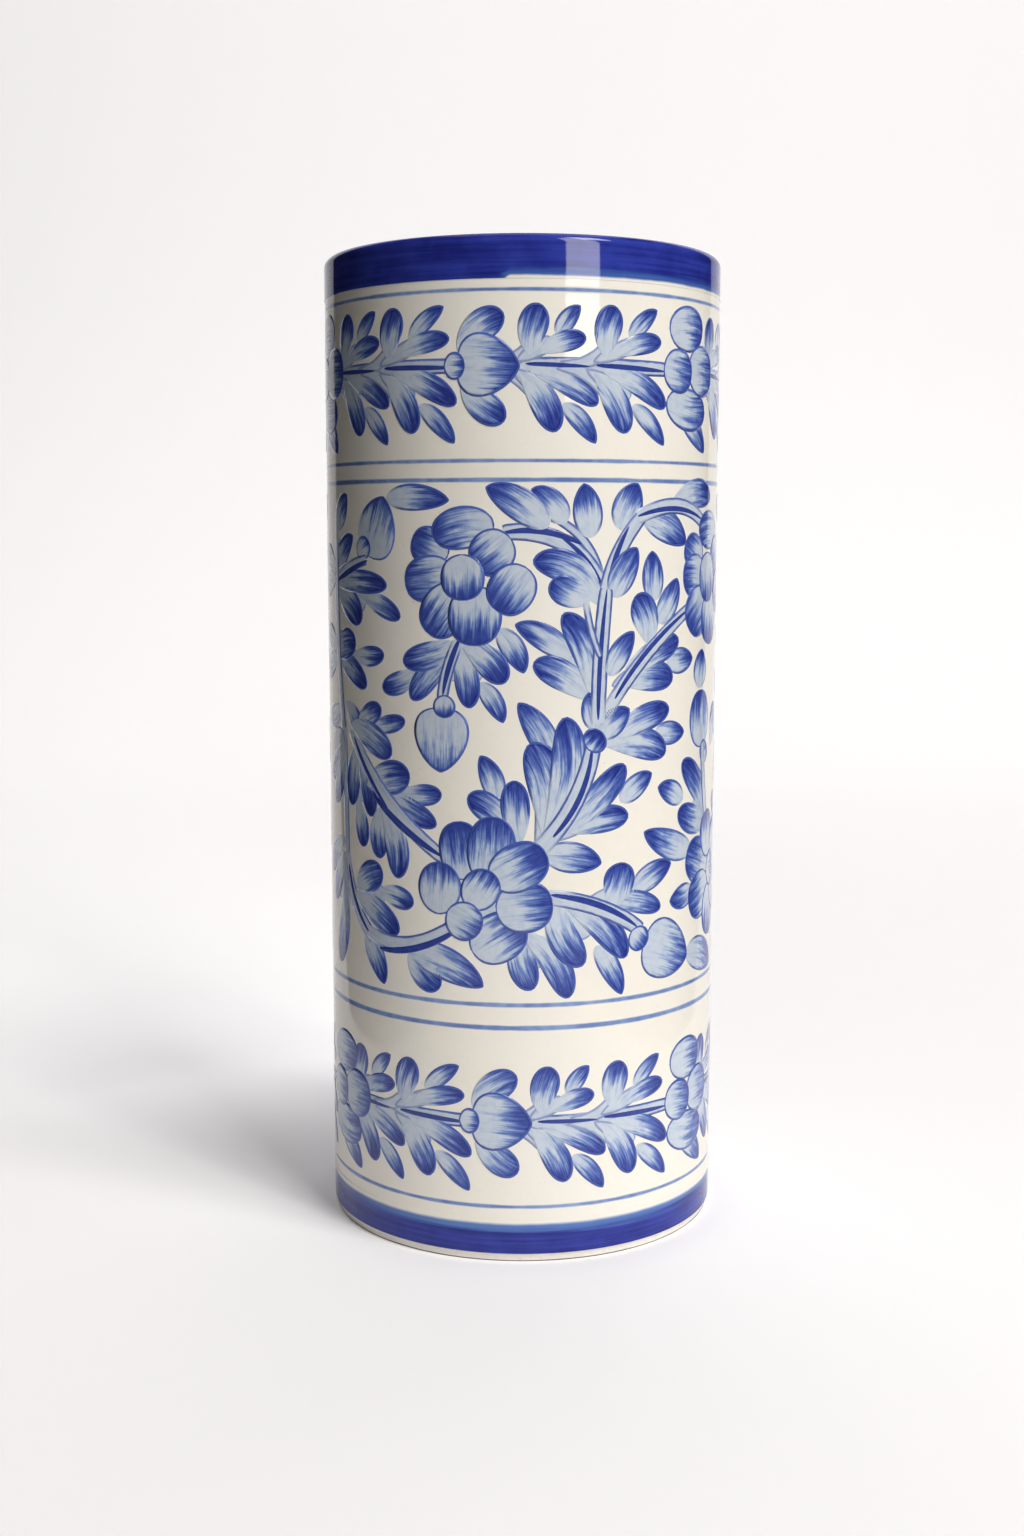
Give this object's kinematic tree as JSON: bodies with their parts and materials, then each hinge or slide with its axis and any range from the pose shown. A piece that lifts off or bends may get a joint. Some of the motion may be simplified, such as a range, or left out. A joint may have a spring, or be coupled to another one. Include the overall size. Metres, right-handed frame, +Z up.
{
  "type": "cylinder vase",
  "caption": "Tall straight-sided pottery vase, white glazed, with cobalt bands and painted floral friezes.",
  "frame": {"origin": "centre of the foot ring's resting face", "axes": "+Z up along the vase's axis, the painted front facing -Y, +X to the viewer's right"},
  "size_m": [0.1142, 0.1142, 0.2781],
  "materials": {
    "bare_clay": "bare fired clay, pale and matt",
    "white_glaze": "glossy warm white glaze",
    "cobalt_band": "glossy cobalt band with a soft edge",
    "ring_blue": "thin blue brush line under gloss",
    "painted_blue": "streaky cobalt brushwork under gloss"
  },
  "bodies": {
    "root": {"foot_ring": "bare_clay", "floor": "bare_clay", "wall": "bare_clay", "outside_glaze": "white_glaze", "inside_glaze": "white_glaze", "rim_band": "cobalt_band", "foot_band": "cobalt_band", "ring_line_1": "ring_blue", "ring_line_2": "ring_blue", "ring_line_3": "ring_blue", "ring_line_4": "ring_blue", "ring_line_5": "ring_blue", "ring_line_6": "ring_blue", "upper_flowers": "painted_blue", "upper_fronds": "painted_blue", "middle_flowers": "painted_blue", "middle_fronds": "painted_blue", "middle_leaves": "painted_blue", "lower_flowers": "painted_blue", "lower_fronds": "painted_blue"}
  },
  "joints": []
}
